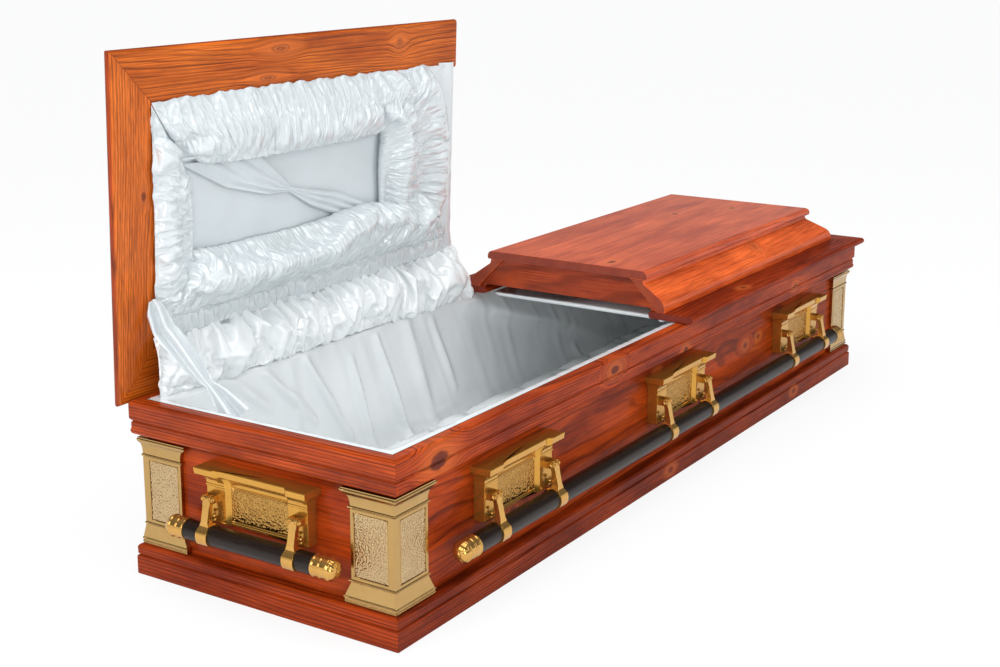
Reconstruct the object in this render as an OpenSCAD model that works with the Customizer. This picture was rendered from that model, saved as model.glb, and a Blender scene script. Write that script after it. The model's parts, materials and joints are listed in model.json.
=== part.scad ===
// Half-couch wooden casket with a moulded box, two hinged lids and four swinging bar handles.
// X runs from the head end (-) to the foot end (+), the hinges are on the +Y side, Z is up.
// The origin is the centre of the underside. The head lid is drawn open, the foot lid closed.

/* [Box] */
// Length over the plinth
plinth_l = 2050; // [1900:10:2200]
// Width over the plinth
plinth_w = 600; // [560:10:680]
// Height of the rim's top above the floor
rim_top = 335; // [325:5:400]
// Thickness of the side, end and bottom boards
board_t = 18; // [15:1:22]
// Depth of the plinth moulding, outwards from the boards
plinth_d = 22; // [18:1:26]
// Height of the plinth moulding
plinth_h = 60; // [50:1:65]
// Depth of the rim moulding, outwards from the boards
rim_d = 23; // [18:1:26]
// Height of the rim moulding
rim_h = 65; // [55:1:70]

/* [Lids] */
// How far a lid's flange reaches past the rim
flange_over = 18; // [16:1:22]
// Width of a lid's flange
flange_w = 107; // [100:1:115]
// Thickness of a lid's flange
flange_t = 15.6; // [14:0.2:18]
// Gap between the rim and a closed lid
lid_gap = 1.4; // [1:0.1:2]
// Thickness of a lid's top panel
panel_t = 19; // [16:1:22]
// Overhang of a lid's top panel past the crown
panel_over = 9; // [6:1:12]
// Where the two lids meet, towards the foot
split_x = 7.5; // [-40:0.5:60]
// Gap between the two lids
split_gap = 3; // [2:0.5:5]
// Opening angle of the head lid
open_angle = 88; // [80:1:95]

/* [Handles] */
// Width of a handle's ear over its cornice
ear_w = 252; // [240:2:270]
// Distance between the two arms of an ear
arm_pitch = 196; // [180:2:200]
// Distance from one side ear to the next
ear_pitch = 655; // [560:5:680]
// Diameter of a handle's bar
bar_dia = 37; // [32:1:38]
// Length of a side bar over its tips
side_bar_l = 1760; // [1700:10:1780]
// Length of an end bar over its tips
end_bar_l = 390; // [380:2:400]

/* [Hidden] */

$fn = 48;
arc_steps = 6;

// Colours
stain = "sienna";
stain_dark = "saddlebrown";
gold = "goldenrod";
satin = "aliceblue";
bar_black = [0.12, 0.10, 0.10];

// Board planes: where the mouldings and fittings sit
face_x = plinth_l / 2 - plinth_d;
face_y = plinth_w / 2 - plinth_d;
inner_x = face_x - board_t;
inner_y = face_y - board_t;
board_top = rim_top - 3;
satin_t = 1.6;

// Lid heights, on the closed lid
lid_z = rim_top + lid_gap;
flange_top = lid_z + flange_t;
crown_h = 68.5;
panel_z = flange_top + crown_h;
lid_top = panel_z + panel_t;
flange_x = face_x + rim_d + flange_over;
flange_y = face_y + rim_d + flange_over;

// Distances inwards from the flange's outer edge to the crown and the top panel
crown_foot_in = 68;
crown_inner_in = 91;
cove_in = 122;
panel_in = cove_in - panel_over;
sprung_rise = panel_z - flange_top - 5;

// Hinges: the axis lies just behind the rim and just above it
hinge_y = face_y + rim_d + 4.7;
hinge_z = rim_top + 3.8;
hinge_x = [230, 800];
leaf_l = 64;
leaf_t = 2;
knuckle_r = 4.5;
pin_r = 2.5;
running_gap = 0.05;
middle_knuckle_l = 24;
knuckle_gap = 0.4;
recess_r = 5.9;

// Corner castings
casting_bottom = plinth_h + 0.4;
casting_top = rim_top - rim_h - 5;
leg_l = 85;
leg_d = 8;

// Ears and arms, as distances outwards from the board (out) and heights (z)
ear_bottom = 144;
ear_top = 249;
cornice_h = 33;
pilaster_out = 23;
panel_out = 15.5;
pilaster_w = 50;
pivot_out = 37;
pivot_z = 193;
trunnion_r = 3.5;
knuckle_out_r = 6.5;
knuckle_w = 17;
lug_t = 4;
lug_gap = 0.5;
bar_out = 41;
bar_z = 128;
bar_r = bar_dia / 2;
collar_t = 3;
collar_w = 25;
shank_w = 15;
tip_l = 50;

// Shapes shared by several parts

// Points of an arc about c, radius r, from angle a to angle b
function arc(c, r, a, b, n = arc_steps) =
    [for (i = [0:n]) c + r * [cos(a + (b - a) * i / n), sin(a + (b - a) * i / n)]];

// Cross-sections are [distance outwards, height]
function plinth_section() = concat(
    [[0, 0], [plinth_d - 1.5, 0], [plinth_d, 1.5], [plinth_d, plinth_h - 25]],
    [[plinth_d - 1.5, plinth_h - 23], [plinth_d - 4.5, plinth_h - 21.5], [plinth_d - 1.5, plinth_h - 19.5]],
    arc([plinth_d - 9, plinth_h - 9], 8, -20, 90),
    [[0, plinth_h]]);

function rim_section() = concat(
    [[0, rim_top - rim_h], [rim_d - 9, rim_top - rim_h]],
    arc([rim_d - 9, rim_top - rim_h + 8], 8, -80, 35),
    [[rim_d - 2.5, rim_top - 41.5], [rim_d - 5, rim_top - 39], [rim_d - 1.5, rim_top - 36]],
    [[rim_d, rim_top - 33.5]],
    arc([rim_d - 8, rim_top - 8], 8, 0, 90),
    [[0, rim_top]]);

// A lid's sections are [distance inwards from the flange's outer edge, height]
function flange_section() = concat(
    arc([7, lid_z + 7], 7, 270, 180),
    arc([7, flange_top - 7], 7, 180, 90),
    arc([flange_w - 6, flange_top - 6], 6, 90, 0),
    arc([flange_w - 6, lid_z + 6], 6, 0, -90));

crown_r = 31;
crown_turn = 58;
cove_r = 18;
function crown_section() = concat(
    [[crown_inner_in, flange_top], [crown_foot_in, flange_top]],
    arc([crown_foot_in + crown_r, flange_top + 6], crown_r, 180, 180 - crown_turn),
    arc([cove_in - cove_r, panel_z - 1], cove_r, crown_turn - 90, 0),
    [[cove_in, panel_z], [crown_inner_in + sprung_rise, panel_z], [crown_inner_in, flange_top + 5]]);

function panel_edge_section(half) = concat(
    [[-half, panel_z]],
    arc([half - 4, panel_z + 4], 4, -90, 0),
    arc([half - 12, lid_top - 12], 12, 0, 90),
    [[-half, lid_top]]);

// Extrudes a section of [out, z] points along X, with out towards -Y
module run(section, l) {
    rotate([90, 0, 90])
        linear_extrude(height = l, center = true)
            polygon([for (p = section) [-p.x, p.y]]);
}

// A moulding along one side of the box, mitred at both ends
module mitred_run(section, half_l) {
    reach = 60;
    intersection() {
        run(section, 2 * (half_l + reach));
        linear_extrude(height = 2 * rim_top, center = true)
            polygon([[-half_l + 1, 1], [half_l - 1, 1], [half_l + reach, -reach], [-half_l - reach, -reach]]);
    }
}

// Puts what is drawn on the front, with its board plane at y = 0, on any side of the box
module on_side(side) {
    turn = side == "front" ? 0 : side == "back" ? 180 : side == "head" ? -90 : 90;
    reach = side == "front" || side == "back" ? face_y : face_x;
    rotate([0, 0, turn]) translate([0, -reach, 0]) children();
}

function half_run(side) = side == "front" || side == "back" ? face_x : face_y;

// Box

module bottom_board() {
    color(stain_dark)
        translate([-inner_x, -inner_y, 0]) cube([2 * inner_x, 2 * inner_y, board_t]);
}

module side_board(side) {
    color(stain)
        on_side(side) translate([-face_x, 0, 0]) cube([2 * face_x, board_t, board_top]);
}

module end_board(side) {
    color(stain)
        on_side(side) translate([-inner_y, 0, 0]) cube([2 * inner_y, board_t, board_top]);
}

// The front plinth is two lengths, butted together near the foot
butt_x = 800;
butt_gap = 0.6;
module plinth(side) {
    color(stain)
        difference() {
            on_side(side) mitred_run(plinth_section(), half_run(side));
            if (side == "front")
                translate([butt_x, -plinth_w, -1]) cube([butt_gap, plinth_w, plinth_h + 2]);
        }
}

module rim(side) {
    color(stain)
        difference() {
            on_side(side) mitred_run(rim_section(), half_run(side));
            if (side == "back")
                each_hinge([-1, 1]) box_leaf_plate();
        }
}

// One casting: an L in plan, its outline swept through the levels of [height, flare]
function casting_levels() = let (b = casting_bottom, t = casting_top) concat(
    [[b, 4.5], [b + 7, 4.5], [b + 8.5, 5.2], [b + 11, 5.2], [b + 12.5, 4.2]],
    [for (a = [15:15:90]) [b + 12.5 + 24 * sin(a), 4.2 * (1 - sin(a))]],
    [[b + 37.5, 1.4], [b + 40.5, 1.4], [b + 41.5, 0]],
    [[t - 37.5, 0], [t - 36.5, 1.6], [t - 33, 1.6], [t - 32, 0]],
    [for (a = [15:15:90]) [t - 32 + 21 * sin(a), 4 * (1 - cos(a))]],
    [[t - 9.5, 4.6], [t - 8, 6], [t - 5.5, 6.6], [t - 3, 6.6], [t - 2, 5.8], [t, 5.8]]);

module corner_casting(sx, sy) {
    levels = casting_levels();
    n = len(levels);
    end_flare = 2.6;
    points = [for (v = levels) let (f = leg_d + v[1], e = leg_l + end_flare * v[1], z = v[0])
        each [[-f, -f, z], [e, -f, z], [e, 0, z], [0, 0, z], [0, e, z], [-f, e, z]]];
    sides = [for (i = [0:n - 2], j = [0:5])
        [6 * i + j, 6 * i + (j + 1) % 6, 6 * i + 6 + (j + 1) % 6, 6 * i + 6 + j]];
    quads_low = [[3, 2, 1, 0], [5, 4, 3, 0]];
    quads_high = [for (q = [[0, 1, 2, 3], [0, 3, 4, 5]]) [for (k = q) 6 * (n - 1) + k]];
    color(gold)
        mirror([sx < 0 ? 1 : 0, 0, 0]) mirror([0, sy < 0 ? 1 : 0, 0]) translate([-face_x, -face_y, 0])
            difference() {
                polyhedron(points, [for (f = concat(sides, quads_low, quads_high)) [for (k = [len(f) - 1:-1:0]) f[k]]]);
                casting_panel(0);
                casting_panel(1);
            }
}

// The sunk field of a casting's shaft, on one of its two faces
module casting_panel(face) {
    low = casting_bottom + 46;
    high = casting_top - 43;
    edge = 7;
    sunk = 1.4;
    mirror([face, -face, 0])
        translate([edge, -leg_d - 1, low]) cube([leg_l - 2 * edge, sunk + 1, high - low]);
}

// Outline of an ear in plan at one level: flare widens it and brings it forward
function ear_outline(flare) = let (
    w = ear_w / 2 - 12 + 0.57 * flare,
    a = ear_w / 2 - 12 - pilaster_w + 0.57 * flare,
    step = pilaster_out - panel_out,
    o = pilaster_out + flare,
    c = panel_out + flare)
    [[-w, 0], [-w, -o], [-a - step, -o], [-a, -c], [a, -c], [a + step, -o], [w, -o], [w, 0]];

function ear_levels() = let (b = ear_bottom, c = ear_top - cornice_h, t = ear_top) concat(
    [[b, 0], [b + 3, 0.8], [b + 5, 0]],
    [[c - 4, 0], [c - 3, 1.8], [c, 1.8], [c + 1, 0.6]],
    [for (a = [15:15:90]) [c + 1 + 17 * sin(a), 0.6 + 15 * (1 - cos(a))]],
    [[c + 19, 17.5], [c + 21, 19.5], [t - 1.5, 21], [t, 20]]);

// An ear of a handle: a cast block with a broken-front cornice and four lugs for the arms
module ear(side, at) {
    levels = ear_levels();
    n = len(levels);
    points = [for (v = levels) each [for (p = ear_outline(v[1])) [p.x, p.y, v[0]]]];
    sides = [for (i = [0:n - 2], j = [0:7])
        [8 * i + j, 8 * i + (j + 1) % 8, 8 * i + 8 + (j + 1) % 8, 8 * i + 8 + j]];
    low = [for (k = [7:-1:0]) k];
    high = [for (k = [0:7]) 8 * (n - 1) + k];
    color(gold)
        on_side(side) translate([at, 0, 0]) {
            polyhedron(points, [for (f = concat(sides, [low, high])) [for (k = [len(f) - 1:-1:0]) f[k]]]);
            for (arm = [-1, 1], lug = [-1, 1])
                translate([arm * arm_pitch / 2 + lug * (knuckle_w / 2 + lug_gap + lug_t / 2), 0, 0]) ear_lug();
        }
}

// One lug, drilled for an arm's trunnion
module ear_lug() {
    r = trunnion_r + 3;
    rotate([90, 0, 90])
        linear_extrude(height = lug_t, center = true)
            difference() {
                union() {
                    translate([-pivot_out, pivot_z]) circle(r = r);
                    translate([-pivot_out, pivot_z - r]) square([pivot_out - panel_out, 2 * r]);
                }
                translate([-pivot_out, pivot_z]) circle(r = trunnion_r + running_gap);
            }
}

// Handles

// One arm: a knuckle on two trunnions, a waisted shank and a collar round the bar
module arm() {
    collar_r = bar_r + collar_t;
    flare_z = bar_z + collar_r + 6;
    intersection() {
        rotate([90, 0, 90])
            linear_extrude(height = 2 * collar_w, center = true)
                difference() {
                    union() {
                        translate([-pivot_out, pivot_z]) circle(r = knuckle_out_r);
                        translate([-bar_out, bar_z]) circle(r = collar_r);
                        polygon([[-pivot_out - 6, pivot_z], [-pivot_out + 2, pivot_z],
                            [-bar_out + 2, bar_z + bar_r], [-bar_out - 12, bar_z + bar_r]]);
                    }
                    translate([-bar_out, bar_z]) circle(r = bar_r);
                }
        rotate([90, 0, 0])
            linear_extrude(height = 200, center = true)
                polygon(concat(
                    [[-knuckle_w / 2, pivot_z + 10], [-knuckle_w / 2, pivot_z - 9]],
                    [[-shank_w / 2, pivot_z - 12], [-shank_w / 2, flare_z]],
                    [[-collar_w / 2, bar_z + 9], [-collar_w / 2, 0], [collar_w / 2, 0], [collar_w / 2, bar_z + 9]],
                    [[shank_w / 2, flare_z], [shank_w / 2, pivot_z - 12]],
                    [[knuckle_w / 2, pivot_z - 9], [knuckle_w / 2, pivot_z + 10]]));
    }
    translate([0, -pivot_out, pivot_z]) rotate([0, 90, 0])
        cylinder(r = trunnion_r, h = knuckle_w + 2 * (lug_gap + lug_t), center = true);
}

function ears_on(side) = side == "front" || side == "back" ? [-ear_pitch, 0, ear_pitch] : [0];
function bar_l(side) = side == "front" || side == "back" ? side_bar_l : end_bar_l;

module arms(side) {
    color(gold)
        on_side(side)
            for (at = ears_on(side), s = [-1, 1])
                translate([at + s * arm_pitch / 2, 0, 0]) arm();
}

module bar(side) {
    color(bar_black)
        on_side(side) translate([0, -bar_out, bar_z]) rotate([0, 90, 0])
            cylinder(r = bar_r, h = bar_l(side) - 2 * tip_l, center = true);
}

// A turned tip with two raised bands and a domed end
module bar_tips(side) {
    r = bar_r;
    color(gold)
        on_side(side)
            for (s = [-1, 1])
                translate([0, -bar_out, bar_z]) rotate([0, s * 90, 0])
                    translate([0, 0, bar_l(side) / 2 - tip_l])
                        rotate_extrude($fn = 48)
                            polygon(concat(
                                [[0, 0], [r + 1, 0], [r + 2, 1], [r + 2, 6], [r + 0.6, 7.5], [r + 0.6, 15]],
                                [[r + 2, 16.5], [r + 2, 20.5], [r + 0.6, 22], [r + 0.6, 29]],
                                [[r + 2, 30.5], [r + 2, 34], [r, 36]],
                                arc([r - 13, 37], 13, 0, 90),
                                [[0, tip_l]]));
}

// Lining of the box

module bed_pad() {
    gap = 7;
    color(satin)
        translate([-inner_x + gap, -inner_y + gap, board_t])
            cube([2 * (inner_x - gap), 2 * (inner_y - gap), 42]);
}

// Satin over the inside of the boards, turned out over their top edges
module wall_lining() {
    wall = 6;
    lap = board_t - 1;
    color(satin)
        difference() {
            union() {
                translate([-inner_x, -inner_y, board_t])
                    cube([2 * inner_x, 2 * inner_y, board_top - board_t]);
                translate([-inner_x - lap, -inner_y - lap, board_top])
                    cube([2 * (inner_x + lap), 2 * (inner_y + lap), satin_t]);
            }
            translate([-inner_x + wall, -inner_y + wall, 0])
                cube([2 * (inner_x - wall), 2 * (inner_y - wall), 2 * rim_top]);
        }
}

// Hinges

// Puts a hinge's leaves at each hinge of the lids on the given sides of the split
module each_hinge(ends) {
    for (e = ends, x = hinge_x)
        translate([e * x, hinge_y, hinge_z]) children();
}

// The leaf let into the back of the rim
module box_leaf_plate() {
    y = face_y + rim_d - hinge_y;
    translate([-leaf_l / 2, y - leaf_t, -32]) cube([leaf_l, leaf_t, 28]);
}

module box_hinge_leaves() {
    y = face_y + rim_d - hinge_y;
    side_l = (leaf_l - middle_knuckle_l) / 2 - knuckle_gap;
    color(gold)
        each_hinge([-1, 1]) {
            box_leaf_plate();
            for (s = [-1, 1]) {
                translate([s * (leaf_l - side_l) / 2, 0, 0]) {
                    rotate([0, 90, 0]) cylinder(r = knuckle_r, h = side_l, center = true);
                    translate([-side_l / 2, y - leaf_t + 2, -6]) cube([side_l, leaf_t, 6]);
                }
            }
            rotate([0, 90, 0]) cylinder(r = pin_r, h = leaf_l, center = true);
        }
}

// The leaf let into the underside of the lid's flange
module lid_leaf_plate() {
    z = lid_z - hinge_z;
    translate([-leaf_l / 2, -46, z]) cube([leaf_l, 36, leaf_t]);
}

module lid_hinge_leaves(end) {
    z = lid_z - hinge_z;
    color(gold)
        lid_place(end) each_hinge([1])
            difference() {
                union() {
                    lid_leaf_plate();
                    translate([-middle_knuckle_l / 2, -12, z]) cube([middle_knuckle_l, 12, leaf_t]);
                    rotate([0, 90, 0]) cylinder(r = knuckle_r, h = middle_knuckle_l, center = true);
                }
                rotate([0, 90, 0])
                    cylinder(r = pin_r + running_gap, h = middle_knuckle_l + 2, center = true);
            }
}

// Lids. Each is drawn closed, at the foot, and the head lid is mirrored and then opened.

// Where a lid is cut, as a distance from the middle of the box
function cut_x(end) = end == 1 ? split_x + split_gap / 2 : -(split_x - split_gap / 2);

module lid_place(end) {
    if (end == 1)
        children();
    else
        translate([0, hinge_y, hinge_z]) rotate([-open_angle, 0, 0]) translate([0, -hinge_y, -hinge_z])
            mirror([1, 0, 0]) children();
}

// One of the three lengths of a lid's moulding, mitred at the corner and cut square at the split
module lid_run(end, side, section) {
    reach = 160;
    long = side != "end";
    turned = [for (p = section) [-p.x, p.y]];
    x0 = cut_x(end);
    intersection() {
        if (long)
            mirror([0, side == "front" ? 0 : 1, 0])
                translate([0, -flange_y, 0]) rotate([90, 0, 90])
                    linear_extrude(height = flange_x + 10) polygon([for (p = section) [p.x, p.y]]);
        else
            translate([flange_x, 0, 0]) rotate([90, 0, 0])
                linear_extrude(height = 2 * flange_y + 20, center = true) polygon(turned);
        linear_extrude(height = 2 * lid_top)
            if (long)
                mirror([0, side == "front" ? 0 : 1])
                    polygon([[x0, -flange_y - 1], [flange_x + 1, -flange_y - 1],
                        [flange_x - reach, -flange_y + reach], [x0, -flange_y + reach]]);
            else
                polygon([[flange_x + 1, -flange_y - 1], [flange_x + 1, flange_y + 1],
                    [flange_x - reach, flange_y - reach], [flange_x - reach, -flange_y + reach]]);
    }
}

module lid_rail(end, side) {
    color(stain)
        lid_place(end)
            difference() {
                lid_run(end, side, flange_section());
                if (side == "back")
                    lid_hinge_recess();
            }
}

// Mortises for the leaves and clearance round the knuckles, on the closed lid
module lid_hinge_recess() {
    for (x = hinge_x)
        translate([x, hinge_y, hinge_z]) {
            lid_leaf_plate();
            translate([-leaf_l / 2 - 1, -10, -20]) cube([leaf_l + 2, 40, 20 + recess_r]);
        }
}

module lid_crown(end, side) {
    color(stain) lid_place(end) lid_run(end, side, crown_section());
}

module lid_panel(end) {
    half_y = flange_y - panel_in;
    far_x = flange_x - panel_in;
    x0 = cut_x(end);
    color(stain)
        lid_place(end)
            intersection() {
                rotate([90, 0, 90])
                    linear_extrude(height = 2 * flange_x, center = true)
                        intersection() {
                            polygon(panel_edge_section(half_y));
                            mirror([1, 0]) polygon(panel_edge_section(half_y));
                        }
                rotate([90, 0, 0])
                    linear_extrude(height = 2 * flange_y, center = true)
                        polygon(panel_edge_section(far_x));
                translate([x0, -flange_y, 0]) cube([flange_x, 2 * flange_y, 2 * lid_top]);
            }
}

// The board that closes the crown of the foot lid, set back from the cut
module foot_lid_bridge() {
    set_back = 6;
    low_z = lid_z + 22;
    half_low = flange_y - crown_inner_in - (low_z - flange_top - 5);
    half_top = flange_y - crown_inner_in - sprung_rise;
    lip_y = flange_y - crown_inner_in;
    color(stain)
        translate([cut_x(1) + set_back, 0, 0]) rotate([90, 0, 90])
            linear_extrude(height = board_t)
                polygon([[-half_low + 14, low_z], [half_low - 14, low_z], [lip_y - 12, flange_top],
                    [lip_y, flange_top], [lip_y, flange_top + 5], [half_top, panel_z],
                    [-half_top, panel_z], [-lip_y, flange_top + 5], [-lip_y, flange_top],
                    [-lip_y + 12, flange_top]]);
}

// Lining of the head lid: a padded frame round a sunk field, below and inside the flange
module head_lid_lining() {
    inset = 93;
    half_y = flange_y - inset;
    far_x = flange_x - inset;
    near_x = cut_x(-1) + 16;
    frame_head = 86;
    frame_split = 281;
    frame_front = 126;
    frame_back = 166;
    field_l = far_x - near_x - frame_head - frame_split;
    proud = 16;
    inside = flange_w + 0.5;
    color(satin)
        lid_place(-1)
            difference() {
                union() {
                    translate([near_x, -half_y, lid_z - proud])
                        cube([far_x - near_x, 2 * half_y, proud - 0.2]);
                    translate([near_x, -flange_y + inside, lid_z - 1])
                        cube([flange_x - inside - near_x, 2 * (flange_y - inside), flange_t + 4]);
                }
                translate([near_x + frame_split, -half_y + frame_front, lid_z - proud - 1])
                    cube([field_l, 2 * half_y - frame_front - frame_back, proud + 12]);
            }
}

module foot_lid_lining() {
    inside = flange_w + 0.5;
    near_x = cut_x(1) + 26;
    color(satin)
        translate([near_x, -flange_y + inside, lid_z + 4])
            cube([flange_x - inside - near_x, 2 * (flange_y - inside), 14]);
}

// The soft pad under the front flange, beside the cut and just inside the lining
module foot_lid_bumper() {
    thick = 5;
    color(satin)
        translate([cut_x(1) + 10, -inner_y + 20, lid_z - thick]) cylinder(d = 14, h = thick);
}

bottom_board();
side_board("front");  // front_side_board
side_board("back");  // back_side_board
end_board("head");  // head_end_board
end_board("foot");  // foot_end_board
plinth("front");  // front_plinth
plinth("back");  // back_plinth
plinth("head");  // head_plinth
plinth("foot");  // foot_plinth
rim("front");  // front_rim
rim("back");  // back_rim
rim("head");  // head_rim
rim("foot");  // foot_rim
corner_casting(1, 1);  // head_front_corner
corner_casting(1, -1);  // head_back_corner
corner_casting(-1, 1);  // foot_front_corner
corner_casting(-1, -1);  // foot_back_corner
ear("front", -ear_pitch);  // front_ear_head
ear("front", 0);  // front_ear_middle
ear("front", ear_pitch);  // front_ear_foot
ear("back", ear_pitch);  // back_ear_head
ear("back", 0);  // back_ear_middle
ear("back", -ear_pitch);  // back_ear_foot
ear("head", 0);  // head_ear
ear("foot", 0);  // foot_ear
bed_pad();
wall_lining();
box_hinge_leaves();
lid_panel(-1);  // head_lid_panel
lid_rail(-1, "front");  // head_lid_front_rail
lid_rail(-1, "back");  // head_lid_back_rail
lid_rail(-1, "end");  // head_lid_end_rail
lid_crown(-1, "front");  // head_lid_front_crown
lid_crown(-1, "back");  // head_lid_back_crown
lid_crown(-1, "end");  // head_lid_end_crown
head_lid_lining();
lid_hinge_leaves(-1);  // head_lid_hinge_leaves
lid_panel(1);  // foot_lid_panel
lid_rail(1, "front");  // foot_lid_front_rail
lid_rail(1, "back");  // foot_lid_back_rail
lid_rail(1, "end");  // foot_lid_end_rail
lid_crown(1, "front");  // foot_lid_front_crown
lid_crown(1, "back");  // foot_lid_back_crown
lid_crown(1, "end");  // foot_lid_end_crown
foot_lid_bridge();
foot_lid_lining();
lid_hinge_leaves(1);  // foot_lid_hinge_leaves
foot_lid_bumper();
bar("front");  // front_bar
bar("back");  // back_bar
bar("head");  // head_bar
bar("foot");  // foot_bar
arms("front");  // front_arms
arms("back");  // back_arms
arms("head");  // head_arms
arms("foot");  // foot_arms
bar_tips("front");  // front_bar_tips
bar_tips("back");  // back_bar_tips
bar_tips("head");  // head_bar_tips
bar_tips("foot");  // foot_bar_tips
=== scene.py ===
"""Half-couch wooden casket: stained and lacquered pine, gilt cast fittings and a white satin lining."""
import json
import math

import bpy
import numpy as np
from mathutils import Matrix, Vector, noise


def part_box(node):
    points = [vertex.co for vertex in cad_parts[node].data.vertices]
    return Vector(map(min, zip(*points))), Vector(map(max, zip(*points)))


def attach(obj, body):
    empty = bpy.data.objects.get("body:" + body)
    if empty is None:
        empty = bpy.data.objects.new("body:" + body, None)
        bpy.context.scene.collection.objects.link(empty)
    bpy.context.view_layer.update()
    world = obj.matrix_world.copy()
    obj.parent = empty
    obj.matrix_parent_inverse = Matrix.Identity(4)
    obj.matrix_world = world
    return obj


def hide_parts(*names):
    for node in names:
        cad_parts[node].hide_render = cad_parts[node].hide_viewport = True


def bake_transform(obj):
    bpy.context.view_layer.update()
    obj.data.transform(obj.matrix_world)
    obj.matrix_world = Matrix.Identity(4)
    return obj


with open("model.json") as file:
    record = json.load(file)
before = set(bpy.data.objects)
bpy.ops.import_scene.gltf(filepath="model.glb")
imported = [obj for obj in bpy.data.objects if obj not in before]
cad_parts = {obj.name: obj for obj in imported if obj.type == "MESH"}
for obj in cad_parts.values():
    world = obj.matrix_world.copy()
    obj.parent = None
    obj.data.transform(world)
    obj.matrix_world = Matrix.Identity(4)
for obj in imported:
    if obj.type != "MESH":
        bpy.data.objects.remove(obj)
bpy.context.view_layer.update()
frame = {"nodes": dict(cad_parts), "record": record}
NODES = frame["nodes"]
MM = 0.001


# ---------------------------------------------------------------- small helpers

def tone(code, alpha=1.0):
    """Linear colour of an sRGB hex code such as "#8b3d18"."""
    parts = [int(code[i:i + 2], 16) / 255 for i in (1, 3, 5)]
    return (*[p / 12.92 if p <= 0.04045 else ((p + 0.055) / 1.055) ** 2.4 for p in parts], alpha)


def node(tree, kind, inputs=None, stops=None, **settings):
    """Adds a node. inputs holds a value or an output socket for each input, and stops a colour ramp's marks."""
    made = tree.nodes.new(kind)
    for key, value in settings.items():
        setattr(made, key, value)
    for key, value in (inputs or {}).items():
        if isinstance(value, bpy.types.NodeSocket):
            tree.links.new(value, made.inputs[key])
        else:
            made.inputs[key].default_value = value
    for i, (place, colour) in enumerate(stops or []):
        mark = made.color_ramp.elements[i] if i < 2 else made.color_ramp.elements.new(place)
        mark.position = place
        mark.color = colour
    return made


def remap(tree, value, low, high, start, end, curve="LINEAR"):
    """Carries a value from the range low to high over to the range start to end."""
    return node(tree, "ShaderNodeMapRange", {0: value, 1: low, 2: high, 3: start, 4: end},
                interpolation_type=curve)


def maths(tree, operation, *values):
    return node(tree, "ShaderNodeMath", dict(enumerate(values)), operation=operation)


def vectors(tree, operation, *values):
    """Vector maths; SCALE takes a vector and a number."""
    slots = (0, "Scale") if operation == "SCALE" else range(len(values))
    return node(tree, "ShaderNodeVectorMath", dict(zip(slots, values)), operation=operation)


def mixed(tree, share, base, over):
    """A mix of two colours, of which over has the share."""
    return node(tree, "ShaderNodeMix", {0: share, 6: base, 7: over}, data_type="RGBA")


def tune(shader, values):
    """Sets plain values on a shader's inputs."""
    for name, value in values.items():
        shader.inputs[name].default_value = value


def new_material(name):
    """An empty material: its tree and its Principled shader."""
    material = bpy.data.materials.new(name)
    material.use_nodes = True
    tree = material.node_tree
    return material, tree, tree.nodes["Principled BSDF"]


def new_piece(name, points, faces, material, body, slot, smooth=True):
    """A mesh made from points in metres, riding on a body."""
    mesh = bpy.data.meshes.new(name)
    mesh.from_pydata([tuple(p) for p in points], [], faces)
    mesh.validate()
    mesh.update()
    mesh.polygons.foreach_set("use_smooth", [smooth] * len(mesh.polygons))
    mesh.materials.append(material)
    piece = bpy.data.objects.new(name, mesh)
    bpy.context.scene.collection.objects.link(piece)
    if body:
        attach(piece, body)
    return piece


def grey(value):
    return (value, value, value, 1.0)


# ---------------------------------------------------------------- stained pine

RING = 5.5 * MM     # pine's yearly rings; the dark late wood of each takes the stain as a line


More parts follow.
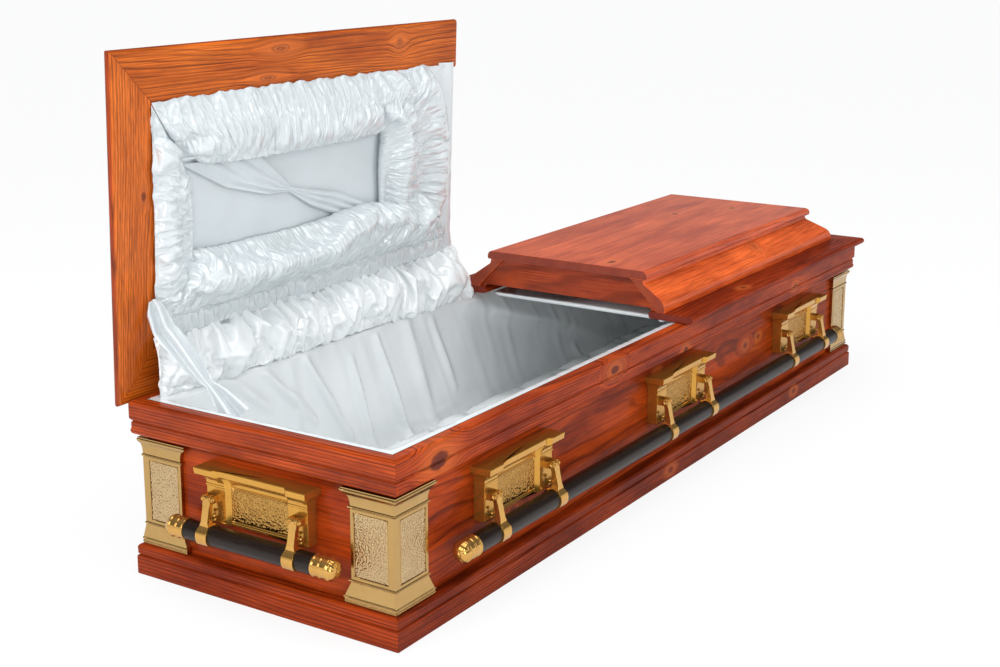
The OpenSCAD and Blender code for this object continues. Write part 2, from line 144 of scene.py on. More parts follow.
def stained_pine(name, early, late, run="x", heart=(0, 0), wander=9, knots=(), coat=0.5, gloss=0.1,
                 knot_heart="#4a160b", knot_ring="#7e3416", painted_shade=None, lines=1.0):
    """Pine boards, planed, rubbed with red-brown stain and sprayed with gloss lacquer.

    To the eye: thin dark lines of late wood on a warm ground, arches where the saw ran flat to the
    rings, knots that push the lines apart, streaks where the stain took unevenly, and a clear coat
    that mirrors the room. run is the way that the board's fibres go; heart is the middle of the
    tree in the board's cross-section, in mm; a knot is (centre in mm, radii in mm, 0 along its branch).
    painted_shade darkens the faces that don't face the front by its colour: painted shade, standing in for the
    shade on faces turned away from the light.
    lines is how strongly the late wood shows.
    """
    material, tree, shader = new_material(name)
    place = node(tree, "ShaderNodeTexCoord")
    seat = place.outputs["Object"]

    # A knot pushes the rings aside, so the place where they are looked up moves towards it
    lookup = seat
    core = halo = None
    for centre, radii in knots:
        centre_m = [c * MM for c in centre]
        spread = [1 / (r * MM) if r else 0 for r in radii]
        from_knot = vectors(tree, "SUBTRACT", seat, centre_m)
        in_radii = vectors(tree, "MULTIPLY", from_knot.outputs[0], spread)
        ragged = node(tree, "ShaderNodeTexNoise", {"Vector": seat, "Scale": 60.0, "Detail": 2.0})
        away = vectors(tree, "LENGTH", in_radii.outputs[0])
        uneven = maths(tree, "MULTIPLY_ADD", ragged.outputs["Fac"], 0.5, away.outputs["Value"])
        d = uneven.outputs[0]
        push = remap(tree, d, 0.8, 4.2, -0.85, 0.0, "SMOOTHSTEP")
        shift = vectors(tree, "SCALE", from_knot.outputs[0], push.outputs[0])
        lookup = vectors(tree, "ADD", lookup, shift.outputs[0]).outputs[0]
        disc = remap(tree, d, 1.3, 0.9, 0.0, 1.0, "SMOOTHSTEP").outputs[0]
        glow = remap(tree, d, 3.4, 1.2, 0.0, 1.0, "SMOOTHSTEP").outputs[0]
        if core is None:
            core, halo, nearest = disc, glow, d
        else:
            core = maths(tree, "MAXIMUM", core, disc).outputs[0]
            halo = maths(tree, "MAXIMUM", halo, glow).outputs[0]
            nearest = maths(tree, "MINIMUM", nearest, d).outputs[0]

    # Fibres along local X
    turn = {"x": (0, 0, 0), "y": (0, 0, -math.pi / 2), "z": (0, math.pi / 2, 0)}[run]
    along = node(tree, "ShaderNodeMapping", {"Vector": lookup, "Rotation": turn}).outputs[0]
    long_wave = vectors(tree, "MULTIPLY", along, (1.5, 7.0, 7.0))
    sway = node(tree, "ShaderNodeTexNoise", {"Vector": long_wave.outputs[0], "Scale": 1.0, "Detail": 3.0,
                                             "Roughness": 0.45})
    centred = vectors(tree, "SUBTRACT", sway.outputs["Color"], (0.5, 0.5, 0.5))
    swayed = vectors(tree, "SCALE", centred.outputs[0], wander * 4 * MM)
    bent = vectors(tree, "ADD", along, swayed.outputs[0])
    from_heart = vectors(tree, "SUBTRACT", bent.outputs[0], (0, heart[0] * MM, heart[1] * MM))
    across = vectors(tree, "MULTIPLY", from_heart.outputs[0], (0.012, 1, 1))
    radius = vectors(tree, "LENGTH", across.outputs[0])
    age = maths(tree, "DIVIDE", radius.outputs["Value"], RING)
    in_ring = maths(tree, "FRACT", age.outputs[0])
    late_wood = node(tree, "ShaderNodeValToRGB", {0: in_ring.outputs[0]},
                     stops=[(0.0, grey(0.1)), (1.0, grey(0.15)), (0.5, grey(0.12)), (0.84, grey(1.0)),
                            (0.95, grey(0.7))])
    # Some years are darker than others
    years = node(tree, "ShaderNodeTexNoise", {"W": age.outputs[0], "Scale": 0.9, "Detail": 1.0},
                 noise_dimensions="1D")
    strong = remap(tree, years.outputs["Fac"], 0.32, 0.68, 0.25, 1.0)
    line = maths(tree, "MULTIPLY", late_wood.outputs[0], strong.outputs[0])

    # Fibre streaks, drawn 1 mm wide, coarser than the real 0.05 mm, so that they show
    thread = vectors(tree, "MULTIPLY", along, (7.0, 800.0, 800.0))
    fibre = node(tree, "ShaderNodeTexNoise", {"Vector": thread.outputs[0], "Scale": 1.0, "Detail": 3.0})
    patch = vectors(tree, "MULTIPLY", along, (4.0, 14.0, 14.0))
    uptake = node(tree, "ShaderNodeTexNoise", {"Vector": patch.outputs[0], "Scale": 1.0, "Detail": 4.0,
                                               "Roughness": 0.6})

    soak = remap(tree, uptake.outputs["Fac"], 0.36, 0.64, 0.0, 1.0)
    ground = mixed(tree, soak.outputs[0], tone(early), tone(late))
    lined = maths(tree, "MULTIPLY", line.outputs[0], lines)
    grain = mixed(tree, lined.outputs[0], ground.outputs[2], [c * 0.36 for c in tone(late)[:3]] + [1])
    streak = remap(tree, fibre.outputs["Fac"], 0.32, 0.68, 0.58, 1.38)
    wood = vectors(tree, "SCALE", grain.outputs[2], streak.outputs[0]).outputs[0]
    if core is not None:
        pale = maths(tree, "MULTIPLY", halo, 0.4)
        wood = mixed(tree, pale.outputs[0], wood, tone("#c9682e")).outputs[2]
        rings = maths(tree, "MULTIPLY", nearest, 3.6)
        year = maths(tree, "PINGPONG", rings.outputs[0], 1.0)
        heart_wood = mixed(tree, year.outputs[0], tone(knot_heart), tone(knot_ring))
        covered = maths(tree, "MULTIPLY", core, 0.82)
        wood = mixed(tree, covered.outputs[0], wood, heart_wood.outputs[2]).outputs[2]

    facing = node(tree, "ShaderNodeSeparateXYZ", {0: place.outputs["Normal"]})
    # Painted shade: faces whose normal at rest doesn't point to the front (-y) are darkened by the given
    # colour, standing in for the shade on faces turned from the light
    if painted_shade:
        inner = remap(tree, facing.outputs["Y"], -0.9, -0.5, 0.0, 1.0)
        painted_shade_tint = mixed(tree, inner.outputs[0], grey(1.0), (*painted_shade, 1.0))
        wood = vectors(tree, "MULTIPLY", wood, painted_shade_tint.outputs[2]).outputs[0]

    # Sawn ends drink more stain: they dry dull and purple-brown
    ended = maths(tree, "ABSOLUTE", facing.outputs[run.upper()])
    end_grain = remap(tree, ended.outputs[0], 0.85, 0.97, 0.0, 0.75)
    colour = mixed(tree, end_grain.outputs[0], wood, tone("#6b3029"))
    tree.links.new(colour.outputs[2], shader.inputs["Base Color"])

    relief = maths(tree, "MULTIPLY_ADD", fibre.outputs["Fac"], 0.35, line.outputs[0])
    bump = node(tree, "ShaderNodeBump", {"Strength": 0.22, "Distance": 0.25 * MM, "Height": relief.outputs[0]})
    tree.links.new(bump.outputs[0], shader.inputs["Normal"])
    tune(shader, {"Roughness": 0.5, "IOR": 1.5, "Specular IOR Level": 0.05, "Coat Weight": coat,
                  "Coat Roughness": gloss, "Coat IOR": 1.5})
    return material


# ---------------------------------------------------------------- gilt, enamel and satin

def gilt(name, colour, roughness, swirl=0.0, dull="#b98a45", hollows=None, haze=0.0):
    """Die-cast zinc, plated in brass and lacquered.

    To the eye: pale gold where it mirrors the room, deep amber where it mirrors the wood. Polishing
    leaves faint cloudy drifts in the shine, and the brushed faces have fine upright scratches. haze is
    the share of light that the lacquer scatters, which keeps the shaded sides of a casting golden.
    """
    material, tree, shader = new_material(name)
    place = node(tree, "ShaderNodeTexCoord")
    cloud = node(tree, "ShaderNodeTexNoise", {"Vector": place.outputs["Object"], "Scale": 38.0, "Detail": 4.0})
    rough = remap(tree, cloud.outputs["Fac"], 0.3, 0.7, roughness * 0.8, roughness * 1.3)
    tree.links.new(rough.outputs[0], shader.inputs["Roughness"])
    worn = remap(tree, cloud.outputs["Fac"], 0.35, 0.75, 0.0, 0.16)
    plate = mixed(tree, worn.outputs[0], tone(colour), tone(dull))
    plated = plate.outputs[2]
    if hollows:
        # Darker in the hollows between the hammer marks, where the mesh's pointiness is low
        form = node(tree, "ShaderNodeNewGeometry")
        deep = remap(tree, form.outputs["Pointiness"], 0.5, 0.44, 0.0, 0.85)
        plated = mixed(tree, deep.outputs[0], plated, tone(hollows)).outputs[2]
    tree.links.new(plated, shader.inputs["Base Color"])
    tune(shader, {"Metallic": 1.0 - haze})
    if swirl:
        # Brush marks 0.4 mm apart, drawn coarser than the real 0.1 mm
        brush = node(tree, "ShaderNodeMapping", {"Vector": place.outputs["Object"], "Scale": (2500, 2500, 40)})
        marks = node(tree, "ShaderNodeTexNoise", {"Vector": brush.outputs[0], "Scale": 1.0, "Detail": 2.0})
        bump = node(tree, "ShaderNodeBump", {"Strength": swirl, "Distance": 0.1 * MM,
                                             "Height": marks.outputs["Fac"]})
        tree.links.new(bump.outputs[0], shader.inputs["Normal"])
    return material


def enamel_tube():
    """Steel tube, brush-painted in brown-black enamel: soft long highlights with faint draw marks."""
    material, tree, shader = new_material("brown_black_enamel")
    place = node(tree, "ShaderNodeTexCoord")
    drawn = node(tree, "ShaderNodeMapping", {"Vector": place.outputs["Object"], "Scale": (30, 30, 700)})
    marks = node(tree, "ShaderNodeTexNoise", {"Vector": drawn.outputs[0], "Scale": 1.0, "Detail": 3.0})
    paint = mixed(tree, marks.outputs["Fac"], tone("#0f0805"), tone("#23140b"))
    tree.links.new(paint.outputs[2], shader.inputs["Base Color"])
    rough = remap(tree, marks.outputs["Fac"], 0.3, 0.7, 0.26, 0.4)
    tree.links.new(rough.outputs[0], shader.inputs["Roughness"])
    tune(shader, {"IOR": 1.5, "Specular IOR Level": 0.3})
    return material


def satin(name, colour, roughness, weave=1.0, gloss=1.0, lustre=0.8):
    """Polyester satin: long floating threads give a soft, slightly one-way gloss over a faint rib.

    The rib is drawn 1.5 mm apart, coarser than the real 0.2 mm, so that it breaks up the shine.
    """
    material, tree, shader = new_material(name)
    place = node(tree, "ShaderNodeTexCoord")
    threads = node(tree, "ShaderNodeMapping", {"Vector": place.outputs["Object"], "Scale": (650, 650, 120)})
    rib = node(tree, "ShaderNodeTexNoise", {"Vector": threads.outputs[0], "Scale": 1.0, "Detail": 2.0})
    drift = node(tree, "ShaderNodeTexNoise", {"Vector": place.outputs["Object"], "Scale": 9.0, "Detail": 3.0})
    shade = remap(tree, drift.outputs["Fac"], 0.3, 0.7, 0.0, 0.35)
    shaded = [0.8 * c for c in tone(colour)[:3]] + [1]
    cloth = mixed(tree, shade.outputs[0], tone(colour), shaded)
    tree.links.new(cloth.outputs[2], shader.inputs["Base Color"])
    rough = remap(tree, rib.outputs["Fac"], 0.3, 0.7, roughness * 0.85, roughness * 1.2)
    tree.links.new(rough.outputs[0], shader.inputs["Roughness"])
    bump = node(tree, "ShaderNodeBump", {"Strength": 0.12 * weave, "Distance": 0.15 * MM,
                                         "Height": rib.outputs["Fac"]})
    tree.links.new(bump.outputs[0], shader.inputs["Normal"])
    tune(shader, {"IOR": 1.5, "Specular IOR Level": gloss, "Coat Weight": lustre,
                  "Coat Roughness": roughness * 0.8, "Coat IOR": 1.7})
    return material


wood_side = stained_pine("pine_side_boards", "#b0420e", "#7a2605", heart=(-90, 190), wander=13, coat=0.11,
                         knots=[((-72, -278, 243), (13, 0, 8)), ((455, -278, 205), (11, 0, 7)),
                                ((-640, 278, 120), (14, 0, 9)), ((380, 278, 200), (12, 0, 8))])
wood_ends = stained_pine("pine_end_boards", "#a9400f", "#802806", run="y", heart=(60, 120), wander=10,
                         coat=0.16)
wood_rim_long = stained_pine("pine_rim_long", "#b64614", "#7e2608", heart=(-260, 900), wander=7, coat=0.14,
                             knot_heart="#330d10", knot_ring="#521a16",
                             knots=[((-903, -301, 300), (27, 0, 19)), ((20, -301, 276), (13, 0, 8)),
                                    ((620, -301, 300), (11, 0, 7)), ((-300, 301, 310), (18, 0, 10))])
wood_rim_ends = stained_pine("pine_rim_ends", "#b44612", "#7a2808", run="y", heart=(700, 800), wander=4,
                             coat=0.3)
wood_plinth_long = stained_pine("pine_plinth_long", "#9a380e", "#681e06", heart=(-200, -600), wander=9,
                                coat=0.14, knots=[((-40, -300, 22), (15, 0, 8)), ((640, 300, 25), (15, 0, 8))])
wood_plinth_ends = stained_pine("pine_plinth_ends", "#9c380c", "#6e2006", run="y", heart=(600, -500), wander=6,
                                coat=0.2)
wood_panel = stained_pine("pine_lid_panels", "#d66239", "#b0482a", heart=(-260, 380), wander=16, coat=0.32,
                          lines=0.6,
                          knots=[((813, -36, 439), (13, 8, 0)), ((654, 51, 439), (12, 8, 0)),
                                 ((55, -95, 439), (15, 9, 0)), ((-520, 402, 600), (14, 0, 10))])
wood_crown = stained_pine("pine_lid_crowns", "#ec6a2c", "#bc4818", heart=(-200, 300), wander=14, coat=0.35,
                          lines=0.35, knot_heart="#9a3c16", knot_ring="#b9562a",
                          knots=[((560, -250, 400), (11, 0, 6))])
wood_crown_ends = stained_pine("pine_lid_crown_ends", "#b0441a", "#7e2a10", run="y", heart=(900, 300), coat=0.5)
wood_rail = stained_pine("pine_flange_long", "#9c3408", "#6c1c04", heart=(-330, 240), wander=12, coat=0.05,
                         knots=[((330, -290, 352), (14, 8, 0)), ((800, 290, 352), (14, 8, 0))])
wood_rail_end = stained_pine("pine_flange_ends", "#a43a0c", "#742206", run="y", heart=(1000, 250), wander=12,
                             coat=0.14)
# Painted shade for the open lid's rails: their faces that don't face the front are darkened by this colour
OFF_FRONT_PAINTED_SHADE = (0.5, 0.32, 0.45)
wood_lid_rail = stained_pine("pine_open_flange_long", "#d2691a", "#aa4a0c", heart=(380, 1010), wander=14,
                             coat=0.4, knot_heart="#7c3110", knot_ring="#b5622c", painted_shade=OFF_FRONT_PAINTED_SHADE,
                             knots=[((-214, 283, 926), (13, 0, 11)), ((-600, 283, 938), (30, 0, 9)),
                                    ((-638, 284, 884), (26, 0, 7)), ((-880, 298, 372), (20, 0, 10))])
wood_lid_rail_end = stained_pine("pine_open_flange_end", "#dc7026", "#b45414", run="z", heart=(360, 900),
                                 coat=0.4, wander=12, painted_shade=OFF_FRONT_PAINTED_SHADE,
                                 knots=[((-972, 290, 700), (6, 0, 10))])

gilt_casting = gilt("brass_plate_castings", "#ba975f", 0.17, dull="#946c3c")
gilt_peened = gilt("brass_plate_castings_peened", "#c9ad82", 0.2, dull="#94744a", hollows="#5e4420")
gilt_warm = gilt("brass_plate_handles", "#d0a056", 0.15, dull="#9a6018", haze=0.1)
gilt_warm_peened = gilt("brass_plate_handles_peened", "#bc8f4c", 0.2, dull="#8e6228", hollows="#5c3c12")
gilt_ears = gilt("brass_plate_ears", "#cc9742", 0.18, dull="#96641e", haze=0.2)
gilt_brushed = gilt("brass_plate_hinges", "#e2b264", 0.3, swirl=0.25)
enamel = enamel_tube()
satin_white = satin("satin_white", "#cfd6d9", 0.22)
# A lighter copy of the same satin for the walls, bed, apron and foot-lid panel: painted light, making up for
# the shade inside the box and under the lid
satin_painted_lighter = satin("satin_white_painted_lighter", "#eef2f3", 0.22)
tricot_white = satin("tricot_matt", "#cfd6d9", 0.75, weave=0.4, gloss=0.3, lustre=0.0)


# ---------------------------------------------------------------- finish of the CAD pieces

def finish_part(name, material, edge):
    """Gives a CAD piece its material and eases its sharp edges by edge mm."""
    part = NODES[name]
    part.data.materials.clear()
    part.data.materials.append(material)
    part.data.polygons.foreach_set("use_smooth", [True] * len(part.data.polygons))
    weld = part.modifiers.new("weld", "WELD")
    weld.merge_threshold = 0.01 * MM
    flat = part.modifiers.new("flat", "DECIMATE")
    flat.decimate_type = "DISSOLVE"
    flat.angle_limit = math.radians(0.6)
    ease = part.modifiers.new("ease", "BEVEL")
    ease.width = edge * MM
    ease.segments = 2
    ease.limit_method = "ANGLE"
    ease.angle_limit = math.radians(32)
    ease.use_clamp_overlap = True
    shine = part.modifiers.new("shine", "WEIGHTED_NORMAL")
    shine.weight = 90
    return part


def wood_of(name):
    """The pine that a wooden piece is cut from."""
    lid_open = name.startswith("head_lid")
    if "panel" in name:
        return wood_panel
    if "crown" in name or "bridge" in name:
        return wood_crown_ends if "end" in name or "bridge" in name else wood_crown
    if "rail" in name:
        if lid_open:
            return wood_lid_rail_end if "end" in name else wood_lid_rail
        return wood_rail_end if "end" in name else wood_rail
    long = name.startswith(("front", "back", "bottom"))
    if "rim" in name:
        return wood_rim_long if long else wood_rim_ends
    if "plinth" in name:
        return wood_plinth_long if long else wood_plinth_ends
    return wood_side if long else wood_ends


def gilt_of(name):
    """The plating of a cast or stamped piece."""
    if "corner" in name:
        return gilt_casting
    if "ear" in name:
        return gilt_ears
    return gilt_brushed if "hinge" in name else gilt_warm


for subpart in frame["record"]["subparts"]:
    if subpart["material_slot"] in ("stained_pine", "plain_pine"):
        finish_part(subpart["node"], wood_of(subpart["node"]), 0.9)
    elif subpart["material_slot"] == "gilt_brass":
        finish_part(subpart["node"], gilt_of(subpart["node"]), 0.5)
    elif subpart["material_slot"] == "black_bar":
        finish_part(subpart["node"], enamel, 0.5)
    else:
        finish_part(subpart["node"], satin_white, 2.0)


# ---------------------------------------------------------------- peened panels, beads and reeds

SIDES = {"front": (0, 278), "head": (-math.pi / 2, 1003), "back": (math.pi, 278), "foot": (math.pi / 2, 1003)}
EARS_AT = {"front": (-655, 0, 655), "back": (-655, 0, 655), "head": (0,), "foot": (0,)}
PEEN = 3.7              # mm from one hammer mark to the next
AROUND = 7              # points across a bead, from its lower edge over the crown to its upper edge


def on_side(side, along, out, z):
    """The place in metres of a point on a side of the box: out from the boards' face, along it to the right."""
    turn, face = SIDES[side]
    x, y = along, -face - out
    return ((x * math.cos(turn) - y * math.sin(turn)) * MM, (x * math.sin(turn) + y * math.cos(turn)) * MM,
            z * MM)


def peened_panel(side, middle, width, low, high, out, grid=0.95, rise=1.25):
    """Points and faces of a panel raised in small hammered domes, rise mm high, flat at its edges."""
    rows, cols = int(width / grid), int((high - low) / grid)
    points = []
    for i in range(rows + 1):
        for j in range(cols + 1):
            u, v = i / rows, j / cols
            x, z = middle + (u - 0.5) * width, low + v * (high - low)
            near = noise.voronoi((x / PEEN, z / PEEN, out / 9 + middle / 50))[0][0]
            rim = min(1, u * rows / 2, (1 - u) * rows / 2, v * cols / 2, (1 - v) * cols / 2)
            points.append(on_side(side, x, out + rise * rim * (1 - min(1, near * 1.5) ** 2), z))
    line = cols + 1
    faces = [(i * line + j, (i + 1) * line + j, (i + 1) * line + j + 1, i * line + j + 1)
             for i in range(rows) for j in range(cols)]
    return points, faces


def bead_run(side, start, end, out, z, radius, pitch=None, slant=0.0):
    """A raised bead along a side. With a pitch it is cut across into reeds."""
    step = pitch / 6 if pitch else 12
    count = max(2, int(abs(end - start) / step))
    points, faces = [], []
    for i in range(count + 1):
        x = start + (end - start) * i / count
        full = radius * (0.62 + 0.38 * abs(math.cos(math.pi * x / pitch)) if pitch else 1)
        for k in range(AROUND):
            turn = math.pi * (k / (AROUND - 1) - 0.5)
            points.append(on_side(side, x + slant * math.sin(turn) * radius, out + full * math.cos(turn) - 0.2,
                                  z + full * math.sin(turn)))
    for i in range(count):
        here, ahead = i * AROUND, (i + 1) * AROUND
        faces += [(here + k, ahead + k, ahead + k + 1, here + k + 1) for k in range(AROUND - 1)]
        faces.append((ahead - 1, ahead + AROUND - 1, ahead, here))
    faces += [tuple(range(AROUND - 1, -1, -1)), tuple(count * AROUND + k for k in range(AROUND))]
    return points, faces


def joined(parts):
    """Points and faces of several pieces as one."""
    points, faces = [], []
    for some_points, some_faces in parts:
        start = len(points)
        points += some_points
        faces += [tuple(k + start for k in face) for face in some_faces]
    return points, faces


def frame_round(side, middle, width, low, high, out, radius=1.3):
    """A raised bead on all four edges of a panel."""
    parts = [bead_run(side, middle - width / 2, middle + width / 2, out, z, radius) for z in (low, high)]
    for x in (middle - width / 2, middle + width / 2):
        points, faces = bead_run(side, 0, high - low, out, 0, radius)
        turned = []
        stations = len(points) // AROUND
        for k in range(stations):
            for m in range(AROUND):
                turn = math.pi * (m / (AROUND - 1) - 0.5)
                turned.append(on_side(side, x + radius * math.sin(turn), out + radius * math.cos(turn) - 0.2,
                                      low + (high - low) * k / (stations - 1)))
        parts.append((turned, [face[::-1] for face in faces]))
    return joined(parts)


CORNER_SIDES = {"front_head": (("front", -1), ("head", 1)), "front_foot": (("front", 1), ("foot", -1)),
                "back_head": (("back", 1), ("head", -1)), "back_foot": (("back", -1), ("foot", 1))}
LEG, LEG_OUT = 85, 8    # a corner casting's width on each side, and how far it stands out, in mm
# Beads round a casting: (height, how far the casting flares there, radius, spacing of the reeds), in mm
CASTING_BEADS = ((63.9, 4.5, 1.7, 4.2), (70.2, 5.2, 1.0, None), (99.4, 1.4, 0.9, None),
                 (230.2, 1.6, 0.9, None), (260.9, 6.6, 1.0, None))
for corner, faces_of in CORNER_SIDES.items():
    panels, beads = [], []
    for side, end in faces_of:
        half = SIDES["head" if side in ("front", "back") else "front"][1]
        middle = end * (half - LEG / 2)
        panels.append(peened_panel(side, middle, LEG - 15, 107.4, 221, LEG_OUT - 1.2))
        beads.append(frame_round(side, middle, LEG - 14, 107, 221.5, LEG_OUT, 0.9))
        for level, flare, radius, pitch in CASTING_BEADS:
            out = LEG_OUT + flare
            beads.append(bead_run(side, end * (half - LEG - 2.6 * flare), end * (half + out), out, level,
                                  radius, pitch, slant=1.5 if pitch else 0))
    new_piece(corner + "_peening", *joined(panels), gilt_peened, "box", "gilt_brass")
    new_piece(corner + "_beads", *joined(beads), gilt_casting, "box", "gilt_brass")

# An ear's sunk panel, in mm: its width, lower and upper edge, and how far out it lies
PANEL_WIDTH, PANEL_LOW, PANEL_HIGH, PANEL_OUT = 134, 151, 210, 15.5
for side, places in EARS_AT.items():
    for at in places:
        name = f"{side}_ear" + ("" if len(places) == 1 else {-655: "_1", 0: "_2", 655: "_3"}[at])
        parts = [frame_round(side, at, PANEL_WIDTH, PANEL_LOW, PANEL_HIGH, PANEL_OUT, 1.4),
                 bead_run(side, at - 64, at + 64, PANEL_OUT + 2.1, PANEL_HIGH + 3.5, 1.3)]
        new_piece(name + "_peening", *peened_panel(side, at, PANEL_WIDTH - 6, PANEL_LOW + 2, PANEL_HIGH - 2,
                                                   PANEL_OUT + 0.2, grid=1.05),
                  gilt_warm_peened, "box", "gilt_brass")
        new_piece(name + "_beads", *joined(parts), gilt_warm, "box", "gilt_brass")


# ---------------------------------------------------------------- turned tips and the small parts of the arms

BAR_R, BAR_OUT, BAR_Z = 18.5, 41, 128
PIVOT_OUT, PIVOT_Z = 37, 193
BAR_L = {"front": 1760, "back": 1760, "head": 390, "foot": 390}
FLUTES, PETALS, ROUND = 24, 8, 96
# (distance from the bar, radius beyond the bar's, depth of the flutes, depth of the petals), all in mm
TIP_PROFILE = [(0.0, 0.2, 0, 0), (0.2, 1.2, 0, 0), (1.0, 1.8, 0, 0), (3.6, 1.8, 0, 0), (4.4, 1.2, 0, 0),
               (5.2, 0.5, 0.1, 0), (6.2, 0.7, 0.35, 0), (14.0, 0.7, 0.35, 0), (15.2, 0.5, 0.1, 0),
               (16.0, 1.4, 0, 0), (17.2, 1.8, 0, 0), (18.4, 1.4, 0, 0), (19.2, 0.5, 0.1, 0),
               (20.2, 0.7, 0.35, 0), (29.6, 0.7, 0.35, 0), (30.6, 0.4, 0, 0), (31.6, 1.6, 0, 0),
               (33.2, 2.0, 0, 0), (34.8, 1.4, 0, 0), (35.8, 0.2, 0, 0.2), (37.4, -0.4, 0, 0.5),
               (40.5, -1.4, 0, 0.9), (43.4, -3.4, 0, 1.1), (45.8, -6.6, 0, 1.1), (47.4, -10.6, 0, 0.8),
               (48.4, -13.6, 0, 0.3), (48.2, -14.6, 0, 0), (49.2, -15.4, 0, 0), (50.0, -17.2, 0, 0),
               (50.1, -18.45, 0, 0)]


def bar_tip(side, end):
    """A turned tip: two fluted bands between beads, and a dome cast as overlapping petals."""
    start = end * (BAR_L[side] / 2 - 50)
    points = []
    for along, more, flute, petal in TIP_PROFILE:
        for k in range(ROUND):
            turn = 2 * math.pi * k / ROUND
            r = BAR_R + more - flute * (1 - abs(math.sin(FLUTES * turn / 2)))
            r -= petal * (1 - abs(math.cos(PETALS * turn / 2))) ** 1.5
            points.append(on_side(side, start + end * along, BAR_OUT + r * math.cos(turn),
                                  BAR_Z + r * math.sin(turn)))
    rings = len(TIP_PROFILE)
    faces = [(i * ROUND + k, (i + 1) * ROUND + k, (i + 1) * ROUND + (k + 1) % ROUND,
              i * ROUND + (k + 1) % ROUND) for i in range(rings - 1) for k in range(ROUND)]
    faces += [tuple(range(ROUND)), tuple((rings - 1) * ROUND + k for k in range(ROUND - 1, -1, -1))]
    if end < 0:
        faces = [face[::-1] for face in faces]
    return points, faces


def ball(side, along, out, z, radius, squeeze=1.0):
    """A small cast ball or, squeezed along the side, a rivet's head."""
    points = [on_side(side, along + squeeze * radius * math.cos(a), out + radius * math.sin(a) * math.cos(b),
                      z + radius * math.sin(a) * math.sin(b))
              for a in [math.pi * i / 8 for i in range(1, 8)]
              for b in [2 * math.pi * k / 12 for k in range(12)]]
    points += [on_side(side, along + squeeze * radius, out, z), on_side(side, along - squeeze * radius, out, z)]
    faces = [(i * 12 + k, (i + 1) * 12 + k, (i + 1) * 12 + (k + 1) % 12, i * 12 + (k + 1) % 12)
             for i in range(6) for k in range(12)]
    faces += [(84, k, (k + 1) % 12) for k in range(12)] + [(85, 72 + (k + 1) % 12, 72 + k) for k in range(12)]
    return points, faces


def arm_trim(side, middle):
    """Rivets at the ends of an arm's trunnions, rings round its knuckle and two balls at its waist."""
    parts = []
    for hand in (-1, 1):
        parts += [ball(side, middle + hand * 13.2, PIVOT_OUT, PIVOT_Z, 4.6, 0.5),
                  ball(side, middle + hand * 9.6, PIVOT_OUT - 3, 163, 3.6),
                  ball(side, middle + hand * 9.8, PIVOT_OUT - 4, 156, 2.6)]
        for offset in (3.8, 7.2):
            hoop = []
            for k in range(24):
                turn = 2 * math.pi * k / 24
                for m in range(4):
                    tilt = math.pi / 2 * m
                    r = 6.9 + 0.9 * math.cos(tilt)
                    hoop.append(on_side(side, middle + hand * (offset + 0.9 * math.sin(tilt)),
                                        PIVOT_OUT + r * math.cos(turn), PIVOT_Z + r * math.sin(turn)))
            parts.append((hoop, [(k * 4 + m, (k + 1) % 24 * 4 + m, (k + 1) % 24 * 4 + (m + 1) % 4,
                                  k * 4 + (m + 1) % 4) for k in range(24) for m in range(4)]))
    return joined(parts)


for side, places in EARS_AT.items():
    # The arms stand 98 mm to each side of an ear's middle
    tips = new_piece(side + "_turned_tips", *joined([bar_tip(side, end) for end in (-1, 1)]), gilt_warm,
                     side + "_handle", "gilt_brass")
    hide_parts(side + "_bar_tips")
    new_piece(side + "_arm_trim",
              *joined([arm_trim(side, at + hand * 98) for at in places for hand in (-1, 1)]), gilt_warm,
              side + "_handle", "gilt_brass")


# ---------------------------------------------------------------- satin, cut full and gathered

HINGE_Y, HINGE_Z = 305.7, 338.8
LID_OPEN = math.radians(88)
LID_UNDER = 336.4       # underside of a lid's flange when the lid is shut
STITCH_ROWS = 1         # rows of cloth that the staples and stitches hold at an edge


def on_lid(x, y, proud):
    """The place, in mm, of a point inside the open head lid.

    y is as when the lid is shut, and proud is how far the point stands out towards the bed.
    """
    back, up = y - HINGE_Y, LID_UNDER - proud - HINGE_Z
    return (x, HINGE_Y + back * math.cos(LID_OPEN) + up * math.sin(LID_OPEN),
            HINGE_Z - back * math.sin(LID_OPEN) + up * math.cos(LID_OPEN))


def through(share, *marks):
    """A value that goes straight from mark to mark; each mark is (share, value)."""
    return float(np.interp(share, [m[0] for m in marks], [m[1] for m in marks]))


def swell(share, early=1.0):
    """0 at both ends, 1 at the crown of a padded roll; early below 1 moves the crown towards the start."""
    return max(0.0, math.sin(math.pi * min(1.0, max(0.0, share)) ** early)) ** 0.7


def grid_faces(rows, cols, closed=False):
    """Quads of a grid of points; closed adds a flat back and two ends, for a padded piece."""
    faces = [(i * cols + j, (i + 1) * cols + j, (i + 1) * cols + j + 1, i * cols + j + 1)
             for i in range(rows - 1) for j in range(cols - 1)]
    if closed:
        last = cols - 1
        faces += [(i * cols, i * cols + last, (i + 1) * cols + last, (i + 1) * cols) for i in range(rows - 1)]
        faces += [tuple(range(cols)), tuple((rows - 1) * cols + j for j in range(last, -1, -1))]
    return faces


def panel_points(rows, cols, place):
    """The points of a panel in metres, as an array of rows by cols by 3."""
    return np.array([[place(i / (rows - 1), j / (cols - 1)) for j in range(cols)] for i in range(rows)]) * MM


def outward(points):
    """Unit normals of a grid of points."""
    along = np.gradient(points, axis=0)
    across = np.gradient(points, axis=1)
    normals = np.cross(along, across)
    return normals / np.maximum(np.linalg.norm(normals, axis=2, keepdims=True), 1e-12)


